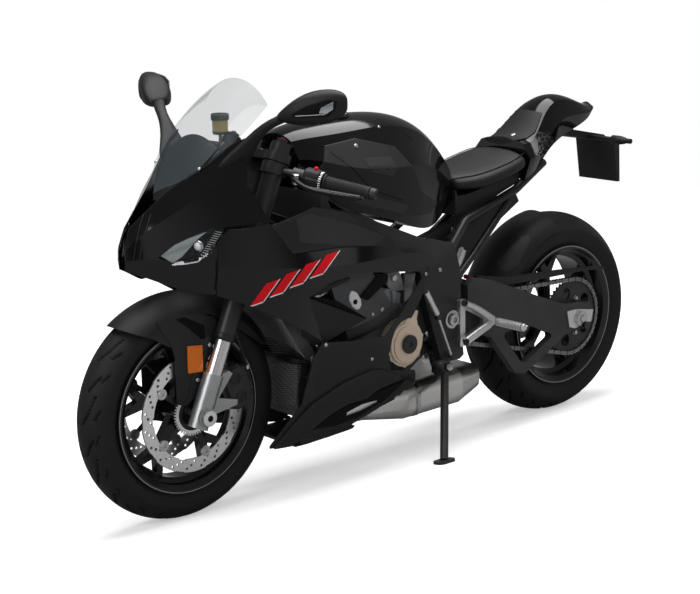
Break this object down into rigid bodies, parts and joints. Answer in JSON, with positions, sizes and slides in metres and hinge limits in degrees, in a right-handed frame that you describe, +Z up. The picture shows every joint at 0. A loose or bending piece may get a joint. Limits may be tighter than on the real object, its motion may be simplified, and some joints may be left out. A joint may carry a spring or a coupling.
{
  "type": "sport motorcycle",
  "caption": "Fully faired sport motorcycle with a screen, fork steering, wheels that turn and a side stand that folds.",
  "frame": {"origin": "middle of the parked motorcycle's plan view, on the floor it stands on", "axes": "+X towards the front wheel, +Y to the rider's left, +Z up; the motorcycle leans to +Y on its side stand"},
  "size_m": [2.0587, 0.8602, 1.1971],
  "materials": {
    "tyre": "matt rubber",
    "wheel_black": "gloss black powder coat",
    "disc_steel": "ground steel",
    "bare_steel": "machined",
    "chain_steel": "oiled steel",
    "black_steel": "satin black",
    "chrome": "hard chrome",
    "grey_cast": "satin grey",
    "silver_cast": "satin cast aluminium",
    "bronze": "satin champagne",
    "satin_steel": "satin",
    "gloss_black": "gloss paint",
    "matt_black": "moulded",
    "cooler_black": "finned black",
    "lamp": "clear over silver",
    "screen": "clear moulded screen",
    "seat_cover": "grained cover",
    "grip_rubber": "ribbed",
    "reservoir": "clear cup",
    "red_spring": "grey coil"
  },
  "bodies": {
    "root": {"main_frame": "grey_cast", "subframe": "black_steel", "swingarm": "grey_cast", "rear_axle": "bare_steel", "drive_chain": "chain_steel", "engine_block": "black_steel", "alternator_cover": "bronze", "clutch_cover": "black_steel", "sprocket_cover": "matt_black", "radiator": "cooler_black", "oil_cooler": "cooler_black", "exhaust_headers": "black_steel", "exhaust_silencer": "satin_steel", "exhaust_can": "satin_steel", "nose_fairing": "gloss_black", "side_fairings": "gloss_black", "side_covers": "matt_black", "lower_fairings": "matt_black", "belly_pan": "matt_black", "headlamps": "lamp", "fairing_stay": "black_steel", "windscreen": "screen", "mirrors": "matt_black", "fuel_tank": "gloss_black", "tank_pads": "matt_black", "rider_seat": "seat_cover", "seat_pan": "matt_black", "tail_fairing": "gloss_black", "plate_bracket": "matt_black", "rear_indicators": "matt_black", "rear_hugger": "matt_black", "chain_guard": "matt_black", "rear_shock": "red_spring", "footrests": "silver_cast", "rear_caliper": "black_steel", "stand_bracket": "black_steel", "panel_pins": "black_steel"},
    "steer": {"fork_clamps": "black_steel", "fork_uppers": "black_steel", "fork_sliders": "chrome", "fork_lowers": "grey_cast", "front_axle": "bare_steel", "front_calipers": "black_steel", "handlebars": "black_steel", "hand_grips": "grip_rubber", "control_levers": "black_steel", "brake_reservoir": "reservoir", "front_fender": "matt_black"},
    "front_wheel": {"front_tyre": "tyre", "front_rim": "wheel_black", "front_discs": "disc_steel"},
    "rear_wheel": {"rear_tyre": "tyre", "rear_rim": "wheel_black", "rear_disc": "disc_steel", "rear_sprocket": "black_steel"},
    "side_stand": {"side_stand": "grey_cast"}
  },
  "joints": [
    {"name": "steering", "type": "hinge", "parent": "root", "child": "steer", "pos_m": [0.70135, -0.12912, 0.28505], "axis": [-0.3919, 0.1439, 0.9087], "range_deg": [-24, 24]},
    {"name": "front_wheel_spin", "type": "hinge", "parent": "steer", "child": "front_wheel", "pos_m": [0.73017, -0.1272, 0.29718], "axis": [0, 0.9877, -0.1564], "continuous": true},
    {"name": "rear_wheel_spin", "type": "hinge", "parent": "root", "child": "rear_wheel", "pos_m": [-0.71082, -0.12397, 0.31758], "axis": [0, 0.9877, -0.1564], "continuous": true},
    {"name": "stand_fold", "type": "hinge", "parent": "root", "child": "side_stand", "pos_m": [-0.13584, -0.00666, 0.24001], "axis": [0.0002, 0.9511, 0.309], "range_deg": [0, 100]}
  ]
}
